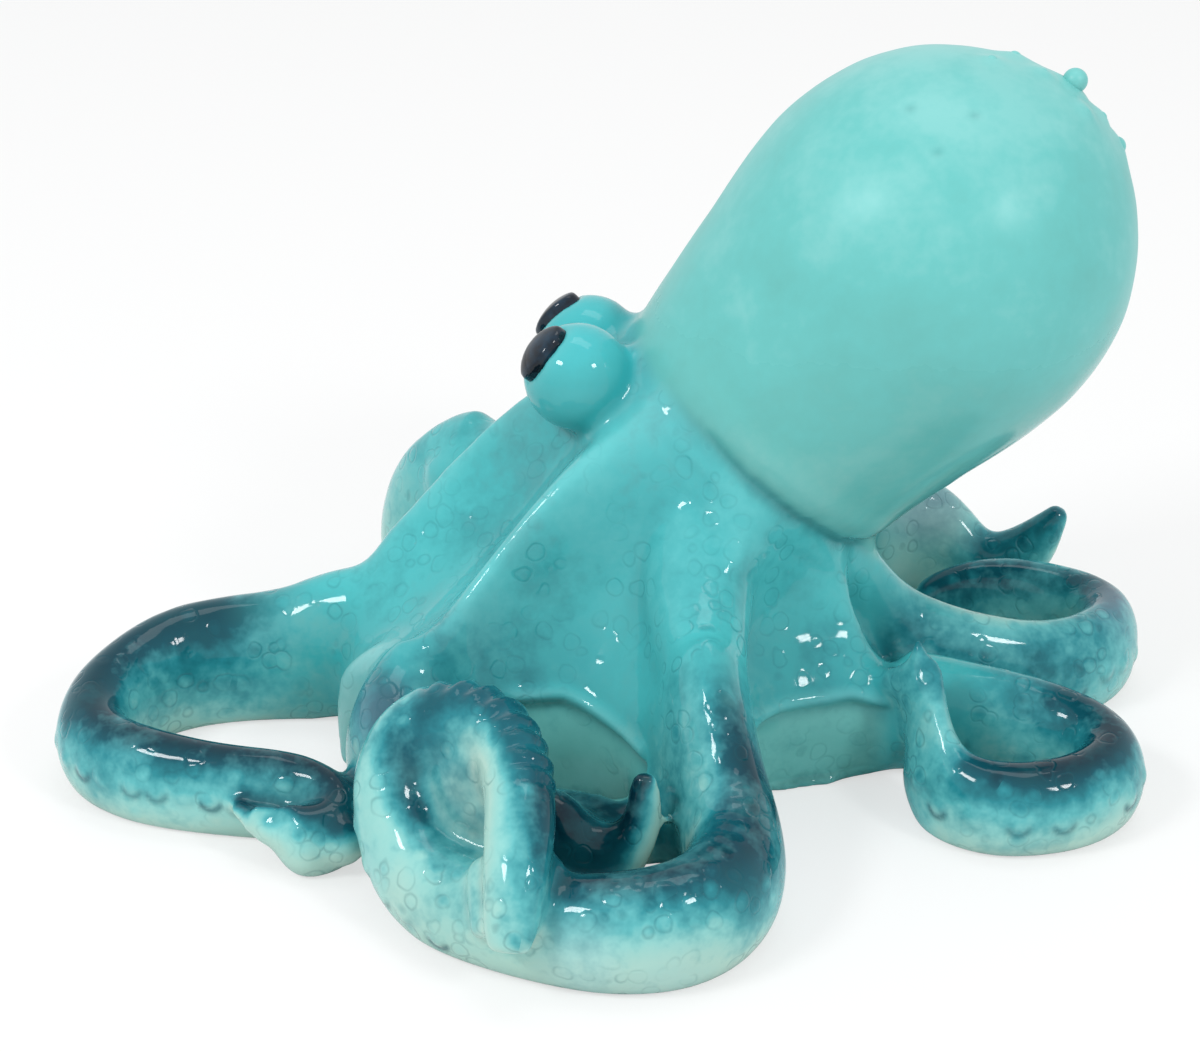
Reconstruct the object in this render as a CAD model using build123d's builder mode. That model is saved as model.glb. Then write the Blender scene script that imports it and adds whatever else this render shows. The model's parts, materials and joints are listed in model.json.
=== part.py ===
from build123d import *
import os
from math import cos, radians, sin

# Glazed earthenware octopus ornament, slip-cast in sections that are luted together before the glaze goes on.
# Frame: the origin is on the table under the middle of the body, +Z is up and the eyes look towards -X.
# Left and right are the octopus's own, so its left side faces -Y. Lengths are in millimetres.

# Neck ring, where the mantle casting is luted to the body
neck_height = 84.0
neck_offset = 25.0
neck_radius = 42.0
neck_lean = 42.5
neck_bore_radius = 31.0
neck_bore_depth = 12.0
spigot_length = 8.0
spigot_wall = 4.0
joint_clearance = 0.3

# Walls of the two hollow castings
body_wall = 6.0
mantle_wall = 5.0

# Mantle
mantle_length = 122.0
mantle_radius = 52.0

# Body: the web spreads in a ring of this radius, and the vent lets steam out in the kiln
web_spread = 100.0
vent_radius = 4.0
vent_offset = 24.0

# Arms: the routes lie in a ring of this radius, and an arm out on the table has this height and thickness
arm_circle = 100.0
arm_height = 20.0
arm_thickness = 20.0
seat_clearance = 1.5
seat_reach = 50.0
seat_trim = 10.0

# Eyes: they sit this far out from the neck ring and this far below its plane
eye_radius = 14.0
eye_spacing = 28.2
eye_lead = 3.50994
eye_drop = 16.20295
eye_yaw = 6.5
eye_roll = 5.5
gaze_turn = 20.0
gaze_tilt = 39.0
pupil_length = 16.0
pupil_width = 9.5
pupil_dome = 1.0
pupil_depth = 4.0

# Warts sprigged on round the tip of the mantle
wart_radius = 3.2

# A cut runs this far past what it cuts
overrun = 1.0

neck = Plane(
    origin=(neck_offset, 0, neck_height),
    x_dir=(-cos(radians(neck_lean)), 0, sin(radians(neck_lean))),
    z_dir=(sin(radians(neck_lean)), 0, cos(radians(neck_lean))),
)

# Around the body: direction in degrees, how far the web reaches along the arm, and how far in the hollow
# between it and the next arm, as shares of web_spread
web_shares = {
    "rear": (4, 0.66, 0.60),
    "rear_right": (48, 0.66, 0.58),
    "right": (92, 0.68, 0.58),
    "front_right": (132, 0.70, 0.66),
    "front": (180, 0.92, 0.84),
    "front_left": (222, 0.98, 0.60),
    "left": (274, 0.84, 0.60),
    "rear_left": (328, 0.76, 0.60),
}

# The body's hollow follows a plain ring of this share of web_spread, drawn in by the wall
core_share = 0.58

# Levels of the body below the neck: height, offset and lean as shares of the neck's, then how far the ridges
# and the hollows have flared from the neck's radius, and the waist
body_level_shares = [
    (0.00, 0.00, 0.00, 1.00, 1.00, 0.98),
    (0.16, 0.00, 0.00, 1.00, 1.00, 1.00),
    (0.32, 0.02, 0.04, 0.96, 0.96, 1.00),
    (0.50, 0.14, 0.20, 0.76, 0.56, 0.96),
    (0.68, 0.34, 0.46, 0.50, 0.20, 0.94),
    (0.85, 0.64, 0.76, 0.22, 0.02, 0.96),
]

# Routes: along X and Y as shares of arm_circle, lift and ridge height as shares of arm_height, width as a share
# of arm_thickness
route_shares = {
    "front": [
        (-0.80, 0.00, 0.0, 2.16, 1.44),
        (-0.96, -0.01, 0.0, 1.88, 1.32),
        (-1.14, -0.03, 0.0, 1.74, 1.20),
        (-1.32, -0.10, 0.0, 1.66, 1.10),
        (-1.45, -0.24, 0.0, 1.46, 1.06),
        (-1.48, -0.42, 0.0, 1.30, 1.00),
        (-1.37, -0.56, 0.0, 1.26, 0.94),
        (-1.21, -0.63, 0.0, 1.22, 0.88),
        (-1.03, -0.67, 0.0, 1.18, 0.80),
        (-0.89, -0.705, 0.0, 1.12, 0.70),
        (-0.815, -0.765, 0.0, 1.04, 0.62),
        (-0.83, -0.84, 0.0, 0.92, 0.60),
        (-0.93, -0.855, 0.18, 0.74, 0.54),
        (-1.03, -0.84, 0.50, 0.42, 0.28),
    ],
    "front_left": [
        (-0.60, -0.43, 0.0, 2.50, 1.40),
        (-0.665, -0.53, 0.0, 2.10, 1.26),
        (-0.68, -0.63, 0.0, 1.85, 1.12),
        (-0.62, -0.715, 0.0, 1.66, 1.00),
        (-0.51, -0.79, 0.0, 1.52, 0.94),
        (-0.38, -0.865, 0.0, 1.38, 0.88),
        (-0.23, -0.935, 0.0, 1.20, 0.80),
        (-0.15, -0.965, 0.10, 0.95, 0.66),
        (-0.075, -0.98, 0.55, 0.56, 0.52),
        (-0.045, -0.98, 1.10, 0.40, 0.38),
        (-0.04, -0.98, 1.62, 0.22, 0.20),
    ],
    "left": [
        (0.10, -0.62, 0.0, 3.16, 1.40),
        (0.115, -0.76, 0.0, 2.62, 1.28),
        (0.15, -0.90, 0.0, 2.05, 1.22),
        (0.175, -1.06, 0.0, 1.65, 1.22),
        (0.13, -1.22, 0.0, 1.52, 1.22),
        (0.02, -1.32, 0.0, 1.46, 1.24),
        (-0.12, -1.34, 0.0, 1.38, 1.22),
        (-0.27, -1.30, 0.0, 1.24, 1.18),
        (-0.43, -1.22, 0.0, 1.16, 1.16),
        (-0.56, -1.12, 0.08, 1.14, 1.12),
        (-0.63, -1.02, 0.42, 1.10, 1.08),
        (-0.65, -0.94, 0.98, 1.06, 1.04),
        (-0.60, -0.90, 1.46, 1.04, 1.02),
        (-0.51, -0.92, 1.76, 1.02, 1.00),
        (-0.41, -0.99, 1.84, 0.96, 0.96),
        (-0.355, -1.10, 1.76, 0.84, 0.88),
        (-0.34, -1.21, 1.58, 0.74, 0.86),
        (-0.345, -1.33, 1.30, 0.62, 0.80),
        (-0.355, -1.425, 0.96, 0.46, 0.70),
        (-0.365, -1.475, 0.68, 0.24, 0.48),
    ],
    "rear_left": [
        (0.62, -0.325, 0.0, 1.85, 1.14),
        (0.78, -0.33, 0.0, 1.55, 1.06),
        (0.96, -0.36, 0.0, 1.40, 1.00),
        (1.10, -0.43, 0.0, 1.30, 0.95),
        (1.16, -0.56, 0.0, 1.24, 0.95),
        (1.09, -0.68, 0.0, 1.20, 0.95),
        (0.96, -0.74, 0.0, 1.18, 0.95),
        (0.83, -0.74, 0.0, 1.20, 0.90),
        (0.74, -0.68, 0.0, 1.28, 0.80),
        (0.70, -0.59, 0.30, 1.26, 0.64),
        (0.68, -0.52, 1.10, 0.86, 0.46),
        (0.66, -0.48, 1.80, 0.46, 0.30),
    ],
    "rear": [
        (0.60, -0.03, 0.0, 2.15, 1.16),
        (0.74, -0.08, 0.0, 1.80, 1.08),
        (0.92, -0.085, 0.0, 1.56, 1.00),
        (1.10, -0.04, 0.0, 1.42, 0.95),
        (1.23, 0.07, 0.0, 1.36, 0.92),
        (1.27, 0.22, 0.0, 1.30, 0.90),
        (1.18, 0.35, 0.0, 1.26, 0.88),
        (1.03, 0.41, 0.0, 1.26, 0.82),
        (0.89, 0.42, 0.0, 1.14, 0.70),
        (0.78, 0.39, 0.0, 0.80, 0.46),
    ],
    "rear_right": [
        (0.45, 0.49, 0.0, 2.50, 1.36),
        (0.60, 0.64, 0.0, 2.30, 1.18),
        (0.74, 0.70, 0.0, 2.00, 1.04),
        (0.87, 0.68, 0.0, 1.60, 0.92),
        (0.98, 0.63, 0.06, 1.20, 0.80),
        (1.07, 0.60, 0.46, 0.84, 0.62),
        (1.14, 0.58, 1.04, 0.54, 0.46),
        (1.19, 0.57, 1.58, 0.26, 0.26),
    ],
    "right": [
        (0.02, 0.63, 0.0, 2.05, 1.30),
        (0.10, 0.80, 0.0, 1.50, 1.15),
        (0.22, 0.92, 0.0, 1.20, 1.00),
        (0.37, 0.96, 0.0, 1.04, 0.90),
        (0.50, 0.90, 0.0, 0.92, 0.78),
        (0.50, 0.79, 0.0, 0.76, 0.60),
        (0.42, 0.74, 0.0, 0.50, 0.36),
    ],
    "front_right": [
        (-0.44, 0.45, 0.0, 3.40, 1.48),
        (-0.54, 0.54, 0.0, 3.05, 1.28),
        (-0.65, 0.64, 0.0, 2.40, 1.20),
        (-0.69, 0.77, 0.0, 1.80, 1.12),
        (-0.63, 0.88, 0.0, 1.40, 1.02),
        (-0.50, 0.93, 0.0, 1.15, 0.92),
        (-0.36, 0.91, 0.0, 1.00, 0.80),
        (-0.28, 0.82, 0.0, 0.84, 0.64),
        (-0.33, 0.74, 0.0, 0.56, 0.40),
    ],
}

# An arm's oval section dips below the table by this share of its height, and is cut flat there
sunk_share = 0.12

# Where an arm climbs so steeply that the level part of its direction is under this share, its sections keep their turn
steep_share = 0.35

# The mantle's wall leaves the neck at this slope
neck_slope = 0.2

# Mantle profile: along the axis as shares of mantle_length, out from it as shares of mantle_radius
mantle_profile_shares = [(0.29, 0.93), (0.46, 0.995), (0.62, 0.985), (0.80, 0.815), (0.93, 0.50)]

# Warts: along the mantle's profile, turned about its axis in degrees, size
wart_shares = [
    (0.965, 0, 1.00),
    (0.960, 165, 0.55),
    (0.900, 178, 0.80),
    (0.905, 12, 0.50),
    (0.860, -16, 0.60),
    (0.815, 8, 0.50),
    (0.925, 84, 0.55),
    (0.915, -96, 0.60),
]


def lobed_face(level_share, inset, lobed=True):
    """One closed, eight-lobed section of the body, drawn in by inset, or the section without its lobes."""
    height_share, offset_share, lean_share, ridge_share, hollow_share, waist_share = level_share
    directions = [direction for direction, reach_share, hollow_reach_share in web_shares.values()]
    corners = []
    for number, (direction, reach_share, hollow_reach_share) in enumerate(web_shares.values()):
        following = directions[(number + 1) % len(directions)]
        between = (direction + following + (360 if following < direction else 0)) / 2
        if not lobed:
            ridge_share, reach_share = hollow_share, core_share
            hollow_reach_share = core_share
        for turn, flare, reach in (
            (direction, ridge_share, reach_share * web_spread),
            (between, hollow_share, hollow_reach_share * web_spread),
        ):
            out = waist_share * (neck_radius + (reach - neck_radius) * flare) - inset
            corners.append((out * cos(radians(turn)), out * sin(radians(turn))))
    lean = radians(neck_lean * lean_share)
    level = Plane(
        origin=(neck_offset * offset_share, 0, max(neck_height * height_share, inset)),
        x_dir=(cos(lean), 0, -sin(lean)),
        z_dir=(sin(lean), 0, cos(lean)),
    )
    with BuildSketch(level) as section:
        with BuildLine():
            Spline(*corners, periodic=True)
        make_face()
    return section.sketch


def round_face(depth, radius):
    """A round section under the neck, which starts where the lobed sections start."""
    with BuildSketch(Plane(origin=neck.offset(-depth).origin, x_dir=-neck.x_dir, z_dir=neck.z_dir)) as section:
        Circle(radius)
    return section.sketch


def body_solid():
    with BuildPart() as form:
        for level_share in body_level_shares:
            add(lobed_face(level_share, 0))
        add(round_face(0, neck_radius))
        loft()
    return form.part


def body_hollow():
    """The space inside the body, from its floor up to the foot of the neck bore. It has no lobes."""
    with BuildPart() as form:
        for level_share in body_level_shares[:-1]:
            add(lobed_face(level_share, body_wall, lobed=False))
        add(round_face(neck_bore_depth, neck_bore_radius))
        loft()
    return form.part


def mantle_outline(inset):
    """The mantle's profile from the neck ring to the tip, along the axis and out from it."""
    length = mantle_length - inset
    swell = [
        (along_share * length, out_share * (mantle_radius - inset))
        for along_share, out_share in mantle_profile_shares
    ]
    return Spline(
        (0, neck_radius - inset), *swell, (length, 0), tangents=[(1, neck_slope), (0, -1)], mode=Mode.PRIVATE
    )


def mantle_solid(inset):
    """The mantle turned about its own axis."""
    with BuildPart() as form:
        with BuildSketch(Plane(origin=neck.origin, x_dir=neck.z_dir, z_dir=(0, 1, 0))):
            with BuildLine():
                outline = mantle_outline(inset)
                add(outline)
                Polyline(outline @ 1, (0, 0), outline @ 0)
            make_face()
        revolve(axis=Axis(neck.origin, neck.z_dir))
    return form.part


def stations(name):
    """Centre, width and height of each section along an arm."""
    found = []
    for x_share, y_share, lift_share, height_share, width_share in route_shares[name]:
        tall = height_share * arm_height * (1 + sunk_share)
        ridge = (lift_share + height_share) * arm_height
        centre = Vector(x_share * arm_circle, y_share * arm_circle, ridge - tall / 2)
        found.append((centre, width_share * arm_thickness, tall))
    return found


def route_planes(centres):
    """A plane square to the route at each centre, with its X level where the route isn't steep, never flipped."""
    planes = []
    across = None
    for number, centre in enumerate(centres):
        before = centres[max(number - 1, 0)]
        after = centres[min(number + 1, len(centres) - 1)]
        along = (after - before).normalized()
        level = along.cross(Vector(0, 0, 1))
        if across is None:
            across = level
        across = across - along * across.dot(along)
        if level.length > steep_share:
            across = level if level.dot(across) > 0 else -level
        planes.append(Plane(origin=centre, x_dir=across, z_dir=along))
    return planes


def seat_outline(name):
    """The flat seat between an arm's root and the body, a little wider than the root."""
    centre, width, tall = stations(name)[0]
    with BuildSketch(route_planes([centre for centre, width, tall in stations(name)])[0]) as seat:
        Rectangle(width + 2 * seat_clearance, tall * 2)
    return seat.sketch


def arm_solid(name):
    """An arm, from its seat on the body to its tip, cut flat at the table."""
    centres = [centre for centre, width, tall in stations(name)]
    with BuildPart() as form:
        for plane, (centre, width, tall) in zip(route_planes(centres), stations(name)):
            with BuildSketch(plane):
                Ellipse(width / 2, tall / 2)
        loft()
        split(bisect_by=Plane.XY, keep=Keep.TOP)
        extrude(seat_outline(name), amount=-seat_trim, mode=Mode.SUBTRACT)
    return form.part


def eye_plane(side):
    """At the middle of an eye and square to its gaze. Side is -1 for the left eye and 1 for the right."""
    across = Vector(
        sin(radians(eye_yaw)),
        cos(radians(eye_yaw)) * cos(radians(eye_roll)),
        -sin(radians(eye_roll)),
    ).normalized()
    gaze = Vector(
        -cos(radians(gaze_turn)) * cos(radians(gaze_tilt)),
        side * sin(radians(gaze_turn)) * cos(radians(gaze_tilt)),
        sin(radians(gaze_tilt)),
    )
    front = neck.origin + neck.x_dir * (neck_radius + eye_lead) - neck.z_dir * eye_drop
    centre = front + across * (side * eye_spacing / 2)
    return Plane(origin=centre, x_dir=gaze.cross(Vector(0, 0, 1)), z_dir=gaze)


def export(part, label):
    part.label = label
    export_step(part, f"parts/{label}.step")


os.makedirs("parts", exist_ok=True)

# Forms that other pieces are cut to
body_form = body_solid()
mantle_form = mantle_solid(0)

# Body: a hollow casting with a flat seat cut for each arm, a floor, a bore at the neck and a vent
with BuildPart() as body:
    add(body_form)
    for name in route_shares:
        extrude(seat_outline(name), amount=seat_reach, mode=Mode.SUBTRACT)
    add(body_hollow(), mode=Mode.SUBTRACT)
    with BuildSketch(neck.offset(overrun)):
        Circle(neck_bore_radius)
    extrude(amount=-neck_bore_depth - overrun - overrun, mode=Mode.SUBTRACT)
    with BuildSketch(Plane.XY.offset(-overrun)):
        with Locations((vent_offset, 0)):
            Circle(vent_radius)
    extrude(amount=body_wall + overrun + overrun, mode=Mode.SUBTRACT)
export(body.part, "body")

# Mantle: a hollow casting with a spigot that drops into the body's neck bore
spigot_radius = neck_bore_radius - joint_clearance
with BuildPart() as mantle:
    add(mantle_form)
    add(mantle_solid(mantle_wall), mode=Mode.SUBTRACT)
    with BuildSketch(neck):
        Circle(neck_radius - mantle_wall + overrun)
        Circle(spigot_radius - spigot_wall, mode=Mode.SUBTRACT)
    extrude(amount=mantle_wall)
    with BuildSketch(neck):
        Circle(spigot_radius)
        Circle(spigot_radius - spigot_wall, mode=Mode.SUBTRACT)
    extrude(amount=-spigot_length)
export(mantle.part, "mantle")

# Eyes: balls luted to the head, each with an oval pocket for its pupil
pocket_floor = eye_radius - pupil_depth
for side, label in ((-1, "left"), (1, "right")):
    seat = eye_plane(side)
    with BuildPart() as eye:
        with Locations(seat):
            Sphere(eye_radius)
        with BuildSketch(seat.offset(pocket_floor)):
            Ellipse(pupil_width / 2, pupil_length / 2)
        extrude(amount=eye_radius, mode=Mode.SUBTRACT)
        add(body_form, mode=Mode.SUBTRACT)
        add(mantle_form, mode=Mode.SUBTRACT)
    export(eye.part, f"{label}_eye")

    with BuildPart() as pupil:
        with BuildSketch(seat.offset(pocket_floor)):
            Ellipse(pupil_width / 2 - joint_clearance, pupil_length / 2 - joint_clearance)
        extrude(amount=eye_radius)
        with Locations(seat):
            Sphere(eye_radius + pupil_dome, mode=Mode.INTERSECT)
    export(pupil.part, f"{label}_pupil")

# Warts: small knobs on the skin of the mantle
profile = mantle_outline(0)
with BuildPart() as warts:
    for along_share, turn, size_share in wart_shares:
        spot = profile @ along_share
        slope = profile % along_share
        around = neck.x_dir.rotate(Axis((0, 0, 0), neck.z_dir), turn)
        out = (around * slope.X - neck.z_dir * slope.Y).normalized()
        middle = neck.origin + neck.z_dir * spot.X + around * spot.Y + out * (size_share * wart_radius / 2)
        with Locations(middle):
            Sphere(size_share * wart_radius)
    add(mantle_form, mode=Mode.SUBTRACT)
export(warts.part, "warts")

# Arms: each is luted to its seat on the body
for name in route_shares:
    export(arm_solid(name), f"{name}_arm")
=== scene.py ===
import bpy
import bmesh
import json
import math
import numpy as np
from mathutils import Matrix, Vector, noise
from mathutils.bvhtree import BVHTree
from mathutils.kdtree import KDTree


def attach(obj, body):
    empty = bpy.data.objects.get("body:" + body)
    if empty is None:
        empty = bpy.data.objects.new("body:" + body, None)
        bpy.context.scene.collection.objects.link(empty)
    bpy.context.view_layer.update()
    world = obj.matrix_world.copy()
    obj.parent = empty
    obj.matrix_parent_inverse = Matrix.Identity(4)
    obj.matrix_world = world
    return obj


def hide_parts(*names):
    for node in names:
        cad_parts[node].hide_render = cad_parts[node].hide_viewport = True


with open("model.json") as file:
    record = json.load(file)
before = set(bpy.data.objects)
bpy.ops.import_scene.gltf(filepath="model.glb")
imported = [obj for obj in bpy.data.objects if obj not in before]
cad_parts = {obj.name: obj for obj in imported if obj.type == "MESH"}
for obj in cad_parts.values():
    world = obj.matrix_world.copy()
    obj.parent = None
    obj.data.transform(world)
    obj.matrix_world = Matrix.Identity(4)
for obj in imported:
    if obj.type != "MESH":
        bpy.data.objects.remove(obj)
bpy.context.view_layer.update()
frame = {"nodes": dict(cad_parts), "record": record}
mm = 0.001
fullTurn = 2 * math.pi

# Sections along each arm, in mm: centre x, y, z, width, height
armRoutes = {
    "front_arm": [
        (-80.0, 0.0, 19.0, 28.8, 48.4), (-96.0, -1.0, 16.5, 26.4, 42.1),
        (-114.0, -3.0, 15.3, 24.0, 39.0), (-132.0, -10.0, 14.6, 22.0, 37.2),
        (-145.0, -24.0, 12.8, 21.2, 32.7), (-148.0, -42.0, 11.4, 20.0, 29.1),
        (-137.0, -56.0, 11.1, 18.8, 28.2), (-121.0, -63.0, 10.7, 17.6, 27.3),
        (-103.0, -67.0, 10.4, 16.0, 26.4), (-89.0, -70.5, 9.9, 14.0, 25.1),
        (-81.5, -76.5, 9.2, 12.4, 23.3), (-83.0, -84.0, 8.1, 12.0, 20.6),
        (-93.0, -85.5, 10.1, 10.8, 16.6), (-103.0, -84.0, 13.7, 5.6, 9.4),
    ],
    "front_left_arm": [
        (-60.0, -43.0, 22.0, 28.0, 56.0), (-66.5, -53.0, 18.5, 25.2, 47.0),
        (-68.0, -63.0, 16.3, 22.4, 41.4), (-62.0, -71.5, 14.6, 20.0, 37.2),
        (-51.0, -79.0, 13.4, 18.8, 34.0), (-38.0, -86.5, 12.1, 17.6, 30.9),
        (-23.0, -93.5, 10.6, 16.0, 26.9), (-15.0, -96.5, 10.4, 13.2, 21.3),
        (-7.5, -98.0, 15.9, 10.4, 12.5), (-4.5, -98.0, 25.5, 7.6, 9.0), (-4.0, -98.0, 34.3, 4.0, 4.9),
    ],
    "left_arm": [
        (10.0, -62.0, 27.8, 28.0, 70.8), (11.5, -76.0, 23.1, 25.6, 58.7),
        (15.0, -90.0, 18.0, 24.4, 45.9), (17.5, -106.0, 14.5, 24.4, 37.0),
        (13.0, -122.0, 13.4, 24.4, 34.0), (2.0, -132.0, 12.8, 24.8, 32.7),
        (-12.0, -134.0, 12.1, 24.4, 30.9), (-27.0, -130.0, 10.9, 23.6, 27.8),
        (-43.0, -122.0, 10.2, 23.2, 26.0), (-56.0, -112.0, 11.6, 22.4, 25.5),
        (-63.0, -102.0, 18.1, 21.6, 24.6), (-65.0, -94.0, 28.9, 20.8, 23.7),
        (-60.0, -90.0, 38.4, 20.4, 23.3), (-51.0, -92.0, 44.2, 20.0, 22.8),
        (-41.0, -99.0, 45.2, 19.2, 21.5), (-35.5, -110.0, 42.6, 17.6, 18.8),
        (-34.0, -121.0, 38.1, 17.2, 16.6), (-34.5, -133.0, 31.5, 16.0, 13.9),
        (-35.5, -142.5, 23.2, 14.0, 10.3), (-36.5, -147.5, 15.7, 9.6, 5.4),
    ],
    "rear_left_arm": [
        (62.0, -32.5, 16.3, 22.8, 41.4), (78.0, -33.0, 13.6, 21.2, 34.7),
        (96.0, -36.0, 12.3, 20.0, 31.4), (110.0, -43.0, 11.4, 19.0, 29.1),
        (116.0, -56.0, 10.9, 19.0, 27.8), (109.0, -68.0, 10.6, 19.0, 26.9),
        (96.0, -74.0, 10.4, 19.0, 26.4), (83.0, -74.0, 10.6, 18.0, 26.9),
        (74.0, -68.0, 11.3, 16.0, 28.7), (70.0, -59.0, 17.1, 12.8, 28.2),
        (68.0, -52.0, 29.6, 9.2, 19.3), (66.0, -48.0, 40.0, 6.0, 10.3),
    ],
    "rear_arm": [
        (60.0, -3.0, 18.9, 23.2, 48.2), (74.0, -8.0, 15.8, 21.6, 40.3), (92.0, -8.5, 13.7, 20.0, 34.9),
        (110.0, -4.0, 12.5, 19.0, 31.8), (123.0, 7.0, 12.0, 18.4, 30.5),
        (127.0, 22.0, 11.4, 18.0, 29.1), (118.0, 35.0, 11.1, 17.6, 28.2),
        (103.0, 41.0, 11.1, 16.4, 28.2), (89.0, 42.0, 10.0, 14.0, 25.5), (78.0, 39.0, 7.0, 9.2, 17.9),
    ],
    "rear_right_arm": [
        (45.0, 49.0, 22.0, 27.2, 56.0), (60.0, 64.0, 20.2, 23.6, 51.5), (74.0, 70.0, 17.6, 20.8, 44.8),
        (87.0, 68.0, 14.1, 18.4, 35.8), (98.0, 63.0, 11.8, 16.0, 26.9),
        (107.0, 60.0, 16.6, 12.4, 18.8), (114.0, 58.0, 25.6, 9.2, 12.1), (119.0, 57.0, 33.9, 5.2, 5.8),
    ],
    "right_arm": [
        (2.0, 63.0, 18.0, 26.0, 45.9), (10.0, 80.0, 13.2, 23.0, 33.6), (22.0, 92.0, 10.6, 20.0, 26.9),
        (37.0, 96.0, 9.2, 18.0, 23.3), (50.0, 90.0, 8.1, 15.6, 20.6), (50.0, 79.0, 6.7, 12.0, 17.0),
        (42.0, 74.0, 4.4, 7.2, 11.2),
    ],
    "front_right_arm": [
        (-44.0, 45.0, 29.9, 29.6, 76.2), (-54.0, 54.0, 26.8, 25.6, 68.3),
        (-65.0, 64.0, 21.1, 24.0, 53.8), (-69.0, 77.0, 15.8, 22.4, 40.3),
        (-63.0, 88.0, 12.3, 20.4, 31.4), (-50.0, 93.0, 10.1, 18.4, 25.8),
        (-36.0, 91.0, 8.8, 16.0, 22.4), (-28.0, 82.0, 7.4, 12.8, 18.8), (-33.0, 74.0, 4.9, 8.0, 12.5),
    ],
}


def smoothStep(x, low, high):
    t = np.clip((x - low) / (high - low), 0, 1)
    return t * t * (3 - 2 * t)


def bell(x, width):
    return np.exp(-(x / width) ** 2)


def newObject(name, mesh):
    piece = bpy.data.objects.new(name, mesh)
    bpy.context.scene.collection.objects.link(piece)
    return piece


def bake(piece):  # applies what modifiers a piece has
    depsgraph = bpy.context.evaluated_depsgraph_get()
    mesh = bpy.data.meshes.new_from_object(piece.evaluated_get(depsgraph))
    piece.modifiers.clear()
    old = piece.data
    piece.data = mesh
    bpy.data.meshes.remove(old)
    piece.data.name = piece.name


def points(mesh):
    found = np.empty(len(mesh.vertices) * 3)
    mesh.vertices.foreach_get("co", found)
    return found.reshape(-1, 3)


def normals(mesh):
    found = np.empty(len(mesh.vertices) * 3, dtype=np.float32)
    mesh.vertex_normals.foreach_get("vector", found)
    return found.reshape(-1, 3).astype(float)


def setPoints(mesh, places):
    mesh.vertices.foreach_set("co", places.ravel())
    mesh.update()


def edgePairs(mesh):
    found = np.empty(len(mesh.edges) * 2, dtype=np.int32)
    mesh.edges.foreach_get("vertices", found)
    return found.reshape(-1, 2)


def spread(values, pairs, passes):  # evens out a value per vertex over its neighbours
    a, b = pairs[:, 0], pairs[:, 1]
    count = np.bincount(a, minlength=len(values)) + np.bincount(b, minlength=len(values))
    for _ in range(passes):
        near = np.bincount(a, values[b], len(values)) + np.bincount(b, values[a], len(values))
        values = 0.5 * values + 0.5 * near / count
    return values


def setAttribute(mesh, name, values):
    layer = mesh.attributes.new(name, "FLOAT", "POINT")
    layer.data.foreach_set("value", values.astype(np.float32))


def nearestSpot(places, spots):  # number of the nearest spot and how far off it is
    tree = KDTree(len(spots))
    for number, spot in enumerate(spots):
        tree.insert(spot, number)
    tree.balance()
    found = [tree.find(p) for p in places]
    return np.array([hit[1] for hit in found]), np.array([hit[2] for hit in found])


def waver(places, size, seed=0):  # soft noise from -1 to 1 with blobs of one size
    shift = Vector((seed * 7.3, seed * 3.1, seed * 1.7))
    return np.array([noise.noise(Vector(p) / size + shift) for p in places])


def remesh(piece, voxel):
    modifier = piece.modifiers.new("remesh", "REMESH")
    modifier.mode = "VOXEL"
    modifier.voxel_size = voxel
    modifier.use_smooth_shade = True
    bake(piece)


def swell(piece, amount):
    modifier = piece.modifiers.new("swell", "DISPLACE")
    modifier.direction = "NORMAL"
    modifier.mid_level = 0
    modifier.strength = amount
    bake(piece)


def smooth(piece, passes, weights=None):
    modifier = piece.modifiers.new("smooth", "SMOOTH")
    modifier.factor = 0.5
    modifier.iterations = passes
    if weights is not None:
        group = piece.vertex_groups.new(name="smooth")
        steps = np.round(weights * 20).astype(int)
        for step in range(1, 21):
            members = np.nonzero(steps == step)[0].tolist()
            if members:
                group.add(members, step / 20, "REPLACE")
        modifier.vertex_group = "smooth"
    bake(piece)
    piece.vertex_groups.clear()


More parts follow.
